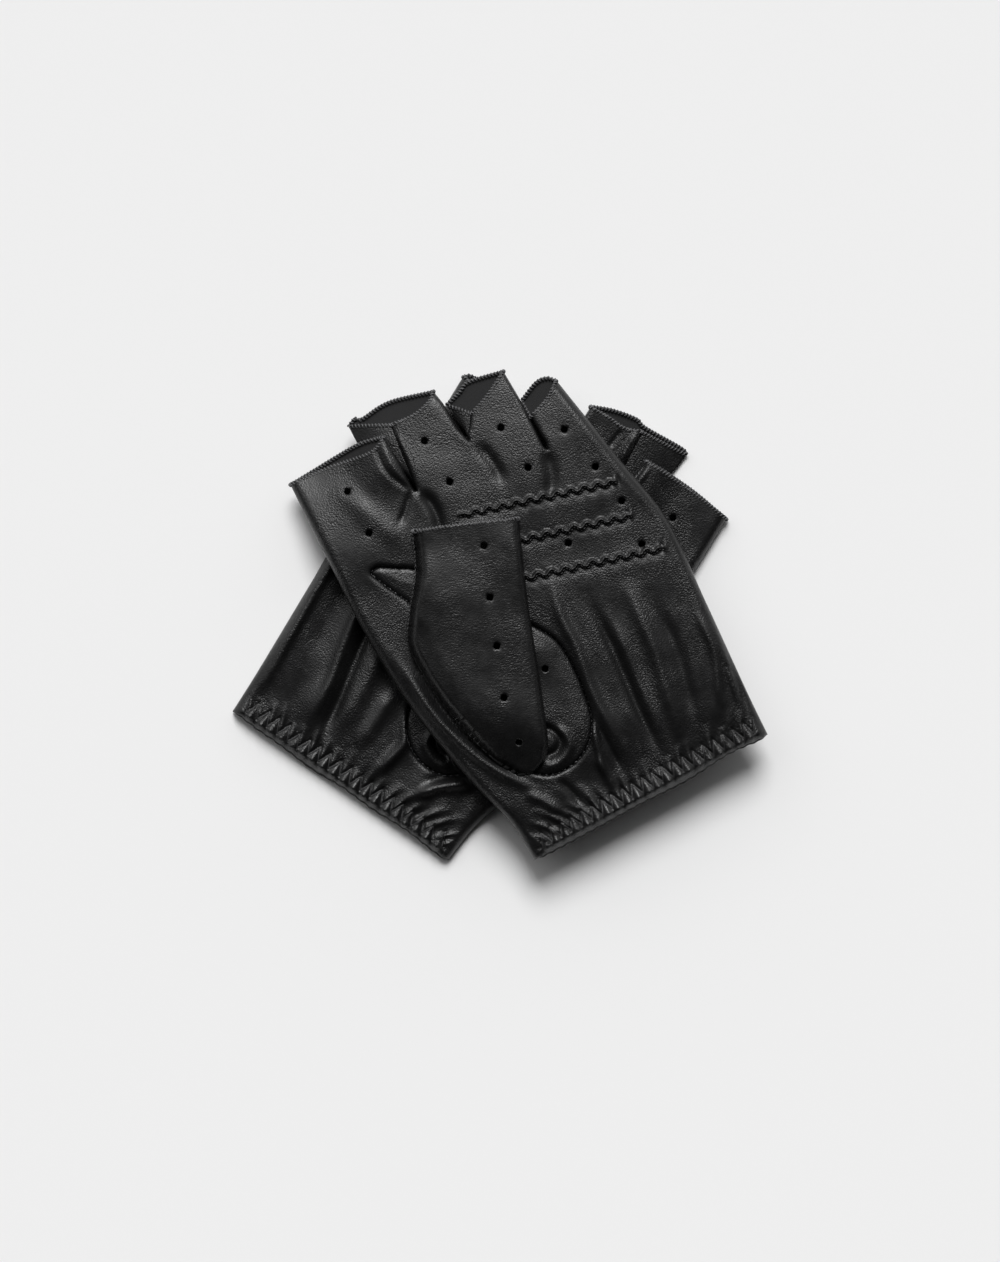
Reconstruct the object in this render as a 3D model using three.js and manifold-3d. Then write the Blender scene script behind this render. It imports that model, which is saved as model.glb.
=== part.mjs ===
// A pair of fingerless leather driving gloves, laid flat and crossed, palms up.
//
// The right glove lies on the ground and the left glove lies across it. Each glove is drawn once, as a
// left glove: x runs across the hand from the thumb side (-x) to the little finger (+x), y runs from
// the wrist hem (y = 0) to the fingertips, and z is up, through the thickness of the flat glove. The
// right glove is the mirror image. Both thumbs are folded over their palms. Millimetres, +Z up; the
// origin is on the ground below the middle of the pair.

import * as THREE from 'three';
import { mergeVertices } from 'three/addons/utils/BufferGeometryUtils.js';
import Module from 'manifold-3d';

const wasm = await Module();
wasm.setup();

// Driving dimensions.
const leather = 0.7;           // thickness of the glove leather
const gap = 0.3;               // clearance kept between neighbouring pieces
const threadHeight = 0.4;
const threadWidth = 0.7;
const handRoom = 4.9;          // height inside the hand of the flattened glove
const thumbRoom = 4.2;         // height inside the flattened thumb
const holeRadius = 1.25;       // ventilation holes punched in the palm
const crotchRadius = 1.5;      // bottom of the slot between two fingers
const wristElasticWidth = 5;
const palmElasticWidth = 3;
const hemRingDepth = 0.5;

// Heights that follow from them.
const insideFloor = leather;
const insideRoof = insideFloor + handRoom;
const palmTop = insideRoof + leather;
const threadFloor = palmTop + gap;
const thumbFloor = threadFloor + threadHeight + gap;
const thumbTop = thumbFloor + 2 * leather + thumbRoom;
const elasticFloor = insideRoof - gap - threadHeight;

// Outlines of the hand, as (across, along) points.
const thumbSidePoints = [[-58, 149.5], [-58.8, 120], [-59.6, 92], [-57.6, 62], [-51.8, 33], [-46.8, 15], [-45.6, 0]];
const littleSidePoints = [[42.5, 0], [43.2, 16.6], [45.2, 50], [46.8, 78], [41.6, 108], [36.2, 138.5]];
const fingers = [
  { name: 'index', left: [-58, 149.5], right: [-24, 149] },
  { name: 'middle', left: [-19.5, 155], right: [-2, 154] },
  { name: 'ring', left: [7, 149.5], right: [20.5, 148.5] },
  { name: 'little', left: [23.5, 136.5], right: [36.2, 138.5] },
];
const crotches = [[-21.8, 126.4], [2.2, 131.2], [22.2, 119.7]];

// The thumb, folded over the palm, from the tip hem round to the crease.
const thumbTipLeft = [-29.2, 115.6];
const thumbTipRight = [3.6, 102.6];
const thumbSideBend = [-36.4, 93.4];
const thumbPoints = [thumbTipLeft, thumbTipRight, [-6.1, 78.8], [-14.1, 56.4], [-22.5, 35], [-33, 20],
  [-42.4, 38], [-47.7, 57.6], [-48.6, 74], [-47, 84.5], thumbSideBend];
const thumbRoomPoints = [[-26.6, 121], [4.3, 106.5], [-7, 78.6], [-15.1, 56.2], [-23.4, 37.5],
  [-37, 40], [-41, 57.6], [-42.6, 82.3], [-35.2, 93]];
const thumbHole = { centre: [-27, 63], across: 7, along: 20 };

// The straight line that the thumb folds about. It lies just outside the bowed crease.
const foldTop = [-53.2, 84.5];
const foldBottom = [-40.4, 20];

// The seam that joins the thumb to the palm, a long drop shape round the thumb hole.
const thumbSeamPoints = [[-47.2, 109.5], [-34.6, 104.5], [-20, 88], [-7.8, 64], [-2.6, 50], [-5, 34],
  [-18.8, 23], [-33, 26], [-42, 50], [-45, 82]];

// Ventilation holes.
const palmHoles = [[-42.3, 137.5], [-42.5, 121.7], [-11.8, 140], [-10.9, 124], [12.6, 131.8],
  [14.2, 115.8], [30.8, 121.3], [34, 105.5], [36.3, 91.4], [35.4, 75.6], [14.1, 87.5], [-12.4, 54.4]];
const thumbHoles = [[-11, 99.8], [-17.3, 83.9], [-22.9, 68.7], [-28.9, 52.6]];

// Gathering rows: three across the palm and one round the wrist.
const palmRows = [
  { from: [-13.5, 112.9], to: [37.7, 98.2] },
  { from: [-14, 100.2], to: [36.7, 85.9] },
  { from: [-14, 87.2], to: [41, 71.4] },
];
const palmWave = { length: 4.4, height: 1.8 };
const wristRow = { from: [-40, 4.6], to: [39, 4.6] };
const wristWave = { length: 3.8, height: 4.4 };

// How the two gloves lie.
const leftLie = { turn: 28.3, x: 51.7, y: -57.8, z: thumbTop + gap };
const rightLie = { turn: -34.6, x: -55, y: -54.4, z: 0 };

function leatherMaterial(color, roughness = 0.5) {
  return new THREE.MeshStandardMaterial({ color, roughness, metalness: 0 });
}

const materials = {
  leather: () => leatherMaterial(0x1d1d1e),
  thread: () => leatherMaterial(0x2a2a2b, 0.6),
  elastic: () => leatherMaterial(0x18181a, 0.8),
};

// Plan-view helpers. `side` is +1 for the left glove and -1 for its mirror image.

function toVectors(points) {
  return points.map(([across, along]) => new THREE.Vector2(across, along));
}

function smoothPath(points, steps) {
  return new THREE.SplineCurve(toVectors(points)).getPoints(steps);
}

function mirrored(points, side) {
  return points.map((point) => new THREE.Vector2(side * point.x, point.y));
}

function slotPath(number) {
  const right = fingers[number + 1].left;
  const left = fingers[number].right;
  const [across, along] = crotches[number];
  const arc = new THREE.EllipseCurve(across, along + crotchRadius, crotchRadius, crotchRadius, 0, -Math.PI, true);
  return [...toVectors([right]), ...arc.getPoints(6), ...toVectors([left])];
}

function handOutline() {
  const outline = smoothPath(littleSidePoints, 14);
  for (let number = 2; number >= 0; number -= 1) {
    outline.push(...slotPath(number));
  }
  outline.push(...smoothPath(thumbSidePoints, 14));
  return outline;
}

// The band between two lines that run beside a path, at signed distances to its left.
function ribbon(path, near, far, closed = false) {
  const last = path.length - 1;
  const normals = path.map((point, at) => {
    const before = path[closed ? (at + last) % (last + 1) : Math.max(at - 1, 0)];
    const after = path[closed ? (at + 1) % (last + 1) : Math.min(at + 1, last)];
    const into = point.clone().sub(before).normalize();
    const out = after.clone().sub(point).normalize();
    const along = into.clone().add(out).normalize();
    const turn = Math.abs(into.clone().add(out).length() / 2) || 0.5;
    const widen = at === 0 || at === last ? 1 : 1 / turn;
    return new THREE.Vector2(-along.y, along.x).multiplyScalar(closed ? 1 / turn : widen);
  });
  const beside = (distance) => path.map((point, at) => point.clone().addScaledVector(normals[at], distance));
  if (!closed) {
    return new THREE.Shape([...beside(near), ...beside(far).reverse()]);
  }
  const [outer, inner] = [beside(near), beside(far)];
  const ring = new THREE.Shape(outer);
  ring.holes.push(new THREE.Path(inner));
  return ring;
}

function zigzag(row, wave, side) {
  const [from, to] = mirrored(toVectors([row.from, row.to]), side);
  const along = to.clone().sub(from);
  const halfWaves = 2 * Math.round(along.length() / wave.length);
  const across = new THREE.Vector2(-along.y, along.x).normalize();
  const points = [];
  for (let at = 0; at <= halfWaves; at += 1) {
    const swing = (at % 2 === 0 ? -0.5 : 0.5) * (wave.height - threadWidth);
    points.push(from.clone().addScaledVector(along, at / halfWaves).addScaledVector(across, swing));
  }
  return points;
}

// Solid helpers.

function extrude(shape, floor, height) {
  const geometry = new THREE.ExtrudeGeometry(shape, { depth: height, bevelEnabled: false });
  return geometry.translate(0, 0, floor);
}

function toSolid(geometry) {
  const bare = geometry.clone();
  bare.deleteAttribute('normal');
  bare.deleteAttribute('uv');
  const merged = mergeVertices(bare, 1e-4);
  return new wasm.Manifold(new wasm.Mesh({
    numProp: 3,
    vertProperties: new Float32Array(merged.attributes.position.array),
    triVerts: new Uint32Array(merged.index.array),
  }));
}

function fromSolid(solid) {
  const mesh = solid.getMesh();
  const geometry = new THREE.BufferGeometry();
  geometry.setAttribute('position', new THREE.BufferAttribute(mesh.vertProperties, 3));
  geometry.setIndex(new THREE.BufferAttribute(mesh.triVerts, 1));
  const faceted = geometry.toNonIndexed();
  faceted.computeVertexNormals();
  return faceted;
}

function add(geometry, ...others) {
  return fromSolid(others.reduce((solid, other) => solid.add(toSolid(other)), toSolid(geometry)));
}

function cut(geometry, ...others) {
  return fromSolid(others.reduce((solid, other) => solid.subtract(toSolid(other)), toSolid(geometry)));
}

// Round punches through a panel that lies between `floor` and `floor + leather`.
function punches(holes, side, floor) {
  return mirrored(toVectors(holes), side).map((centre) => {
    const punch = new THREE.CylinderGeometry(holeRadius, holeRadius, leather + 2 * gap, 8);
    return punch.rotateX(Math.PI / 2).translate(centre.x, centre.y, floor + leather / 2);
  });
}

function thumbHoleCut(side, floor, height) {
  const [across, along] = thumbHole.centre;
  const oval = new THREE.EllipseCurve(side * across, along, thumbHole.across, thumbHole.along);
  return extrude(new THREE.Shape(oval.getPoints(20).slice(0, -1)), floor, height);
}

// The pieces of one glove.

function backPanel(side) {
  return extrude(new THREE.Shape(mirrored(handOutline(), side)), 0, leather);
}

// The palm, with the edges that turn down over both sides of the hand.
function palmPanel(side) {
  const plate = extrude(new THREE.Shape(mirrored(handOutline(), side)), insideRoof, leather);
  const wallFloor = insideFloor + gap;
  const walls = [thumbSidePoints, littleSidePoints].map((points) => {
    const edge = mirrored(smoothPath(points, 14), side);
    return extrude(ribbon(edge, 0, side * leather), wallFloor, palmTop - wallFloor);
  });
  const holes = punches(palmHoles, side, insideRoof);
  return cut(add(plate, ...walls), ...holes, thumbHoleCut(side, insideRoof - gap, leather + 2 * gap));
}

// The strip that joins palm and back round the slot between two fingers.
function fourchette(side, number) {
  const edge = mirrored(slotPath(number), side);
  return extrude(ribbon(edge, 0, side * leather), insideFloor + gap, handRoom - 2 * gap);
}

// The flattened thumb tube: open at the tip, and below it at the thumb hole in the palm. Its edge along
// the crease is bevelled, so that the thumb can swing up and over to the outside of the hand.
function thumbPanel(side) {
  const body = extrude(new THREE.Shape(mirrored(toVectors(thumbPoints), side)), thumbFloor, thumbTop - thumbFloor);
  const roomShape = new THREE.Shape(mirrored(toVectors(thumbRoomPoints), side));
  const room = extrude(roomShape, thumbFloor + leather, thumbRoom);
  const hole = thumbHoleCut(side, thumbFloor - gap, leather + 2 * gap);
  const holes = punches(thumbHoles, side, thumbTop - leather);
  return cut(body, room, hole, creaseBevel(side), ...holes);
}

function creaseBevel(side) {
  const [top, bottom] = mirrored(toVectors([foldTop, foldBottom]), side);
  const size = 60;
  const length = 2 * top.distanceTo(bottom);
  const slope = THREE.MathUtils.degToRad(45);
  const wedge = new THREE.BoxGeometry(size, length, size);
  wedge.translate(-side * size / 2, 0, size / 2).rotateY(side * (Math.PI / 2 - slope));
  wedge.rotateZ(Math.atan2(top.y - bottom.y, top.x - bottom.x) - Math.PI / 2);
  const middle = top.clone().add(bottom).multiplyScalar(0.5);
  return wedge.translate(middle.x, middle.y, thumbFloor + threadHeight);
}

// A ring of overcast stitches just beyond an open hem, from its left end to its right end.
function hemRing(side, ends, floor, roof) {
  const [left, right] = mirrored(toVectors(ends), side);
  const along = right.clone().sub(left);
  const half = along.length() / 2;
  const frame = new THREE.Shape(toVectors([[-half, floor], [half, floor], [half, roof], [-half, roof]]));
  const inside = half - leather;
  frame.holes.push(new THREE.Path(toVectors([[-inside, floor + leather], [inside, floor + leather],
    [inside, roof - leather], [-inside, roof - leather]])));
  const ring = new THREE.ExtrudeGeometry(frame, { depth: hemRingDepth, bevelEnabled: false });
  ring.rotateX(Math.PI / 2).translate(0, side * (gap + hemRingDepth / 2) + hemRingDepth / 2, 0);
  ring.rotateZ(Math.atan2(along.y, along.x));
  return ring.translate((left.x + right.x) / 2, (left.y + right.y) / 2, 0);
}

function threadAlong(path, floor) {
  return extrude(ribbon(path, -threadWidth / 2, threadWidth / 2), floor, threadHeight);
}

function elasticStrip(side, row, width) {
  const path = mirrored(toVectors([row.from, row.to]), side);
  return extrude(ribbon(path, -width / 2, width / 2), elasticFloor, threadHeight);
}

// The seam thread that runs just outside an edge, which keeps the piece on its left.
function edgeThread(side, path, floor) {
  const edge = mirrored(path, side);
  return extrude(ribbon(edge, -side * gap, -side * (gap + threadWidth)), floor, threadHeight);
}

function thumbSeam(side) {
  const loop = new THREE.CatmullRomCurve3(thumbSeamPoints.map(([x, y]) => new THREE.Vector3(x, y, 0)), true);
  const path = loop.getPoints(40).slice(0, -1).map((point) => new THREE.Vector2(side * point.x, point.y));
  if (side > 0) {
    path.reverse();
  }
  return extrude(ribbon(path, -threadWidth / 2, threadWidth / 2, true), threadFloor, threadHeight);
}

function buildGlove(name, side, lie) {
  const glove = new THREE.Group();
  const place = (piece, geometry, material) => {
    const mesh = new THREE.Mesh(geometry, material());
    mesh.name = `${name}_${piece}`;
    glove.add(mesh);
  };

  place('back_panel', backPanel(side), materials.leather);
  place('palm_panel', palmPanel(side), materials.leather);
  place('thumb_panel', thumbPanel(side), materials.leather);
  ['index_middle', 'middle_ring', 'ring_little'].forEach((fingerPair, number) => {
    place(`fourchette_${fingerPair}`, fourchette(side, number), materials.leather);
  });

  fingers.forEach((finger) => {
    const ring = hemRing(side, [finger.left, finger.right], 0, palmTop);
    place(`${finger.name}_hem_thread`, ring, materials.thread);
  });
  const thumbRing = hemRing(side, [thumbTipLeft, thumbTipRight], thumbFloor, thumbTop);
  place('thumb_hem_thread', thumbRing, materials.thread);

  palmRows.forEach((row, number) => {
    place(`palm_elastic_${number + 1}`, elasticStrip(side, row, palmElasticWidth), materials.elastic);
    const stitch = threadAlong(zigzag(row, palmWave, side), threadFloor);
    place(`palm_gather_thread_${number + 1}`, stitch, materials.thread);
  });
  place('wrist_elastic', elasticStrip(side, wristRow, wristElasticWidth), materials.elastic);
  place('wrist_gather_thread', threadAlong(zigzag(wristRow, wristWave, side), threadFloor), materials.thread);

  const littleSide = smoothPath(littleSidePoints, 14);
  place('side_seam_thread', edgeThread(side, littleSide, insideFloor), materials.thread);
  const thumbEdge = toVectors([thumbTipLeft, thumbSideBend, [-44, 87]]);
  place('thumb_side_seam_thread', edgeThread(side, thumbEdge, thumbFloor + leather), materials.thread);
  place('thumb_seam_thread', thumbSeam(side), materials.thread);

  glove.rotation.z = THREE.MathUtils.degToRad(lie.turn);
  glove.position.set(lie.x, lie.y, lie.z);
  return glove;
}

const pair = new THREE.Group();
pair.add(buildGlove('right', -1, rightLie));
pair.add(buildGlove('left', 1, leftLie));

// Move the pair so that the origin is on the ground below its middle.
const reach = new THREE.Box3().setFromObject(pair, true);
const middle = reach.getCenter(new THREE.Vector3());
pair.position.set(-middle.x, -middle.y, -reach.min.z);

export default pair;
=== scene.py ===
"""A pair of black fingerless leather driving gloves, crossed palms up on a pale floor.

Each glove is drawn once as a left glove, flat, in millimetres: u runs across the hand from the thumb
side (-u), v from the wrist hem (v = 0) to the fingertips and w up through the thickness. The right
glove is its mirror image. Leather sheets are cut to their outline as fine triangle meshes and then
raised by height functions; threads follow the leather's own surface.
"""

import math

import bmesh
import bpy
import numpy as np
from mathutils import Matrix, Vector
from mathutils.geometry import delaunay_2d_cdt


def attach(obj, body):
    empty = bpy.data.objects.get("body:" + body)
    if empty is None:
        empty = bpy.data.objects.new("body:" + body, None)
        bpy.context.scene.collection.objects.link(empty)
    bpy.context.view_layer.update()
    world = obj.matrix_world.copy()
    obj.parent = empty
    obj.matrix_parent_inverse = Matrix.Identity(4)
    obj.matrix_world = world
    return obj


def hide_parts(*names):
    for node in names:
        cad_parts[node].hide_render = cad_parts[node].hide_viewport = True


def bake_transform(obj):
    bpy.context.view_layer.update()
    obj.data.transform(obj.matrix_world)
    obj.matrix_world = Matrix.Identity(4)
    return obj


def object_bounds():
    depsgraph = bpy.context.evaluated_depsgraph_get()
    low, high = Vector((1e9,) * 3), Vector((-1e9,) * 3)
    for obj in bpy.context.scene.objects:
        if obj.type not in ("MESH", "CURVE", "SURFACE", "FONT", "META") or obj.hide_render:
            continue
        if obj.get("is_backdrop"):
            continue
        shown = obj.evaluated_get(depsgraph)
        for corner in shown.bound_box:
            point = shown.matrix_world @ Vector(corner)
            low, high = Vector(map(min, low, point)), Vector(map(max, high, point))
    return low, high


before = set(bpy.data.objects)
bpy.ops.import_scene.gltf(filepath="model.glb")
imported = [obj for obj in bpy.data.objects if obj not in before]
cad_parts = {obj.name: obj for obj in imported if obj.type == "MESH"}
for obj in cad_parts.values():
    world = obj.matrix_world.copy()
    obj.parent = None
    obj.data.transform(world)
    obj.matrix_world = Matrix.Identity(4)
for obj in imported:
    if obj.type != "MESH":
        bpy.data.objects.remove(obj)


def write_size(moment, sizes):
    """Keeps the object's bounds at this moment in the table of sizes."""
    sizes[moment] = [[float(value) for value in corner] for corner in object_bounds()]


SIZES = {}
write_size("cad", SIZES)

# Driving dimensions, in millimetres.
PAIR_SHIFT = (0.4045, -1.5533)     # moves the middle of the pair onto the origin
LEATHER = 0.7                      # thickness of the palm, the back and the thumb base
FOURCHETTE_LEATHER = 0.5
THUMB_LEATHER = 0.32
HAND_THICKNESS = 5.5               # height of the palm of an empty glove
HAND_EDGE = 1.0                    # height where the palm's rolled edge meets the back
EDGE_RADIUS = 3.1                  # roundness of the folded outer edges
SLOT_RADIUS = 1.6                  # roundness of the leather where it turns down between fingers
BASE_HEIGHT = 5.1                  # height of the leather inside the thumb seam
THUMB_EDGE = 8.1                   # height of the thumb's folded edges
THUMB_FLOOR = 7.2                  # height of its underside
THUMB_FULLNESS = 4.1               # how far its upper side stands above its edges
THUMB_RIGHT_RADIUS = 2.6           # roundness of its edges
THUMB_LEFT_RADIUS = 2.8
THUMB_BOTTOM_RADIUS = 2.2
WRIST_DROOP = 1.5                  # how far the upper glove sags at its wrist,
FINGER_DROOP = 4                   # at its fingertips
INDEX_DROOP = 4.5                  # and further at the index finger
HOLE_RADIUS = 1.15
HOLE_DIMPLE = 0.12                 # depth of the leather pulled in round a punched hole
HEM_THREAD = 0.22                  # radius of the thread round the open ends and over the wrist
PALM_ELASTIC_WIDTH = 3.0
WRIST_ELASTIC_WIDTH = 5.0
ELASTIC_THICKNESS = 0.4
OUTLINE_STEP = 0.6                 # spacing of points along the cut edges
GRID = 0.85                        # spacing of the leather mesh
FINE_GRID = 0.42                   # and where it is gathered

# The glove's lines, as (u, v).
THUMB_SIDE = [(-58.2, 149.5), (-58.9, 120), (-59.7, 92), (-57.6, 62), (-51.8, 33), (-46.8, 15), (-45.6, 0)]
LITTLE_SIDE = [(42.5, 0), (43.2, 16.6), (45.3, 50), (46.9, 79), (41.7, 108), (36.4, 137.6)]
CROTCHES = [(-22.1, 126.6), (1.2, 133.7), (22.7, 118.5)]

PALM_HOLES = [(-42.3, 137.5), (-42.5, 121.7), (-11.8, 140), (-10.9, 124), (12.6, 131.8), (14.2, 115.8),
              (30.8, 121.3), (34, 105.5), (36.3, 91.4), (35.4, 75.6), (14.1, 87.5)]
BASE_HOLES = [(-12.4, 54.4)]
THUMB_HOLES = [(-11, 99.8), (-17.3, 83.9), (-22.9, 68.7), (-28.9, 52.6), (-31.6, 37.2)]
THUMB_MOUTH = {"centre": (-27, 63), "across": 6.5, "along": 19}

THUMB_SEAM = [(-48.2, 109.8), (-45.4, 110.6), (-40, 107.4), (-34.6, 104), (-28, 96.5), (-21, 85.5),
              (-13, 74.5), (-8, 67.4), (-4.8, 61.5), (-3.7, 55), (-4.3, 43), (-7, 31.6), (-13, 24.6),
              (-22, 21.8), (-30, 24), (-36.5, 33), (-40.5, 50), (-41.4, 70), (-40.6, 86), (-41.3, 94),
              (-44.4, 100.5), (-47.4, 107)]
THUMB_RIGHT = [(3.6, 102.6), (-6.1, 78.8), (-14.1, 56.4), (-21.6, 36), (-24, 30.8)]
THUMB_BOTTOM = [(-24, 30.8), (-27.2, 27.8), (-32, 26.2), (-37.2, 27.4)]
THUMB_LEFT = [(-37.2, 27.4), (-42.4, 38), (-47.4, 57.6), (-48.9, 72), (-48.2, 83.5), (-42.4, 92.8),
              (-34.9, 102.8), (-29.2, 115.6)]
THUMB_HEM = [(-29.2, 115.6), (-24, 113.5), (-14.6, 110), (-5.3, 106.2), (3.6, 102.6)]
CREASE = [(-48.4, 84.5), (-49.0, 70.2), (-48, 57.6), (-45.3, 47.4), (-42.4, 38), (-38, 29), (-33, 20)]
CREASE_VALLEY = ([(-49, 84), (-49.4, 70), (-48.4, 57.6), (-45.6, 47.4), (-42.4, 38), (-38, 29), (-33, 22)],
                 -0.8, 1.4)
POCKET_RIM = [(-20.4, 37), (-17.4, 33.6), (-16.8, 30), (-18, 27), (-23.3, 24.8), (-30, 26)]
POCKET_HOOK = [(-22.5, 38), (-19.8, 35), (-19.2, 31.4), (-21.6, 28.8), (-25, 28.6)]
THUMB_SIDE_SEAM = [(-29.6, 114.4), (-34.9, 102.8), (-42.4, 92.8), (-46.4, 87)]

PALM_ROWS = [[(-13.5, 112.9), (37.7, 98.2)], [(-14, 100.2), (36.7, 85.9)], [(-14, 87.2), (41, 71.4)]]
PALM_WAVE = {"length": 4.6, "height": 1.5}
WRIST_ROW = [(-41.5, 4.4), (40.5, 4.4)]
WRIST_ELASTIC = [(-40, 4.4), (39, 4.4)]

# Lamps: name, strength, angular size in degrees and the direction the light comes from.
LAMPS = [("key", 3.17, 28, (0, 1, 1.1)), ("side_lamp", 0.45, 50, (-0.85, 0.8, 1.0))]
# The studio's brightness, from the low side (-Y) to the bright side (+Y).
SKY = {"From Min": -0.05, "From Max": 0.9, "To Min": 0.015, "To Max": 0.9}
LENS = 100                         # focal length
CAMERA_HEIGHT = 1180               # above the floor, in millimetres
PICTURE_SHIFT = 3.2                # how far the picture's middle lies below the point "at" is measured from
FLOOR_GAP = 0.5                    # how far the floor lies below height 0

# What differs between the two gloves: how they lie, the shape of each finger's open end and the folds.
# "side" is -1 for the mirror image and "at" places the middle of the wrist. "front" and "back" are the
# open ends of the fingers in the palm and in the back. "slots" are the ways from those ends down to each
# crotch, on its left and on its right, and "wing" is the way of a side panel that folds out. Each fold
# is a path, its height and its width.
LEFT = {
    "name": "left", "side": 1, "turn": 28.3, "at": (51.7, -57.8, 13.2), "seed": 4,
    "front": {
        "index": [(-58.2, 149.4), (-43.4, 147.9), (-29.6, 145.6), (-22.9, 147.9)],
        "middle": [(-18.9, 150.6), (-11, 149.8), (-4.2, 151.4), (-1.4, 153.8)],
        "ring": [(6.3, 141.2), (11.9, 143.1), (18.1, 146.2), (22.3, 148.6)],
        "little": [(22.9, 130.8), (30.1, 133.3), (34.6, 136.2), (36.4, 137.6)],
    },
    "back": {
        "index": [(-58.2, 149.4), (-34.3, 150.4), (-24.8, 148.8)],
        "middle": [(-31.8, 157.3), (-28.6, 158.6), (-26.6, 157.3), (-16.1, 157.9), (-1.3, 154)],
        "ring": [(0.4, 147.9), (6.5, 149.7), (10.5, 151.2), (22.4, 148.8)],
        "little": [(22.9, 137.2), (30, 140.2), (34, 139.9), (36.4, 137.6)],
    },
    "slots": [
        {"front": [[(-22.6, 138)], [(-20.6, 138)]],
         "back": [[(-23.2, 138)], [(-22.9, 138), (-24.4, 149.8)]],
         "wing": [(-23.6, 135), (-29.5, 142), (-31.7, 148.5)]},
        {"front": [[(-0.3, 147), (-0.1, 139)], [(3.4, 137)]],
         "back": [[(-0.1, 145)], [(0.7, 141)]]},
        {"front": [[(22.7, 137), (22.5, 127)], [(22.95, 124)]],
         "back": [[(22.7, 137), (22.5, 127)], [(22.95, 126)]]},
    ],
    "folds": [
        ([(-55.2, 84), (-53.4, 73), (-52.2, 59.7), (-49.3, 48.3), (-44.8, 36.9), (-38.5, 26.5), (-31, 17)],
         1.2, 1.7),
        CREASE_VALLEY,
        ([(4, 84), (0.4, 67.7), (0, 55.6), (-2.2, 41), (-2.6, 30.9), (-2.4, 12)], 1.0, 1.8),
        ([(11.5, 70), (10.6, 51.3), (9.6, 39), (8.4, 26), (8, 8)], -1.2, 1.7),
        ([(15, 60), (14.2, 48), (12.8, 35), (11.4, 20)], 0.5, 1.5),
        ([(24.5, 70), (22.8, 46.2), (21.1, 36.4), (18.5, 23.5), (15.9, 8)], 1.0, 2.4),
        ([(30, 60), (29, 40), (25, 22), (23.6, 12)], -0.8, 2.2),
        ([(41, 50), (39.6, 33.2), (34.7, 20.5), (32.3, 11)], 0.8, 1.4),
        ([(43.4, 45), (42.2, 32), (40.1, 22.5), (37.8, 9)], 0.5, 0.5),
        ([(44.4, 36), (42.3, 22), (40, 9)], -0.8, 0.9),
        ([(-6.4, 33), (-9.7, 22.9), (-12.2, 12)], 1.2, 0.9),
        ([(-6, 33), (-6, 23.6), (-6, 12)], -0.8, 0.9),
        ([(-20.9, 127), (-19.6, 118), (-22, 108)], -1.3, 1.7),
        ([(-23, 128), (-29, 122), (-33, 119)], -0.7, 1.0),
        ([(2.8, 132), (4.8, 122), (4, 114)], -0.9, 1.8),
        ([(22.6, 119), (19.5, 109), (15, 103)], -0.9, 2.2),
        ([(-46, 143), (-40, 128), (-34, 112)], 0.5, 3.5),
        ([(-26.9, 147), (-27.8, 137.4), (-23.9, 127)], -0.6, 0.6),
        ([(-24.6, 147), (-25.2, 138), (-23, 128)], 0.5, 0.9),
        ([(-18.8, 148), (-19.0, 137), (-20.5, 129)], 0.5, 1.0),
        ([(-38, 22), (-33, 15), (-30, 9)], 0.9, 1.6),
        ([(-26, 21), (-24, 14), (-23, 8)], -0.8, 1.2),
        ([(-12, 22), (-11, 15), (-11, 8)], 0.7, 1.3),
    ],
    "wrist_period": 3.8,
}
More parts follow.
